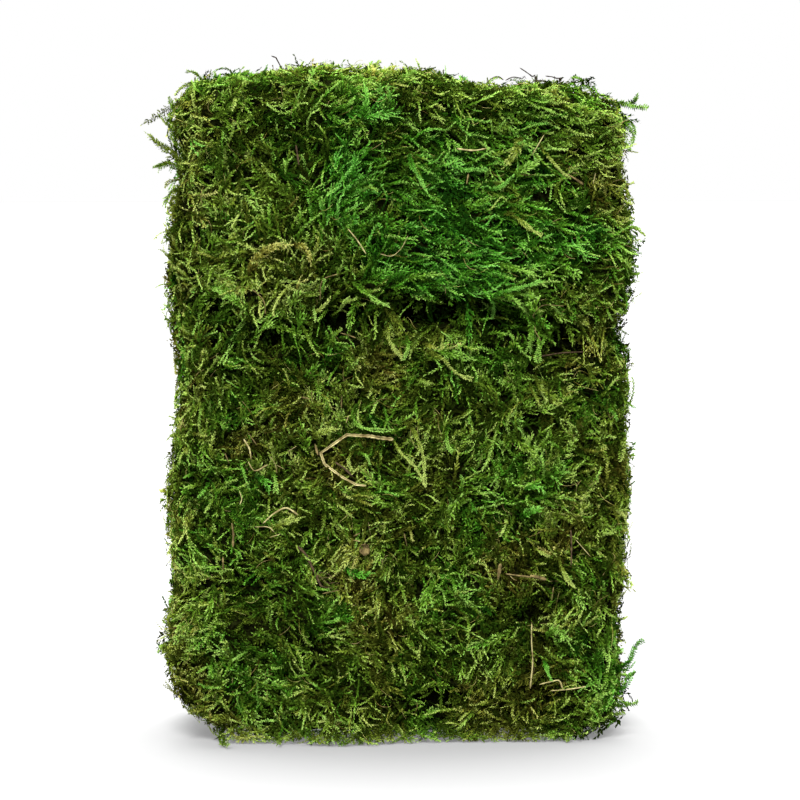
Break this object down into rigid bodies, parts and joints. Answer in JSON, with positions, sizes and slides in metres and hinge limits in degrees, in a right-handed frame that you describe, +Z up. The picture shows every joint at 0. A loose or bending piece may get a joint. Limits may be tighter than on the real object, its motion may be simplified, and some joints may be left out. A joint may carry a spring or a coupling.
{
  "type": "moss clump",
  "caption": "Pressed block of dried green sheet moss that stands on its short edge, with a folded upper sheet, a ledge, pits, and straws and twigs caught in it.",
  "frame": {"origin": "middle of the footprint, on the surface that the clump stands on", "axes": "+Z up along the long side, +X along the width, -Y the front with the ledge"},
  "size_m": [0.1858, 0.089, 0.2529],
  "materials": {
    "deep_moss": "pressed older moss, olive and brown, soft and matt",
    "olive_moss": "dried moss fronds in olive with patches of green and brown, matt",
    "green_moss": "dried moss fronds in fresh green, matt with a slight leaf gloss",
    "dry_straw": "dry pale straw and split wood, dull",
    "brown_twig": "thin dark brown twig bark and dead leaf, rough"
  },
  "bodies": {
    "root": {"moss_stack": "deep_moss", "lower_sheet": "olive_moss", "upper_sheet": "green_moss", "bent_straw": "dry_straw", "arched_straw": "dry_straw", "upright_stalk": "dry_straw", "left_straw_upper": "dry_straw", "left_straw_lower": "dry_straw", "bottom_straw_left": "dry_straw", "bottom_straw_right": "dry_straw", "upper_straw": "dry_straw", "thin_straw": "dry_straw", "pink_stem": "dry_straw", "wood_chip_upright": "dry_straw", "wood_chip_level": "dry_straw", "dark_twig": "brown_twig", "brown_root": "brown_twig", "upper_stick": "brown_twig", "top_twig_long": "brown_twig", "top_twig_short": "brown_twig", "top_stem": "brown_twig", "curled_husk": "brown_twig"}
  },
  "joints": []
}
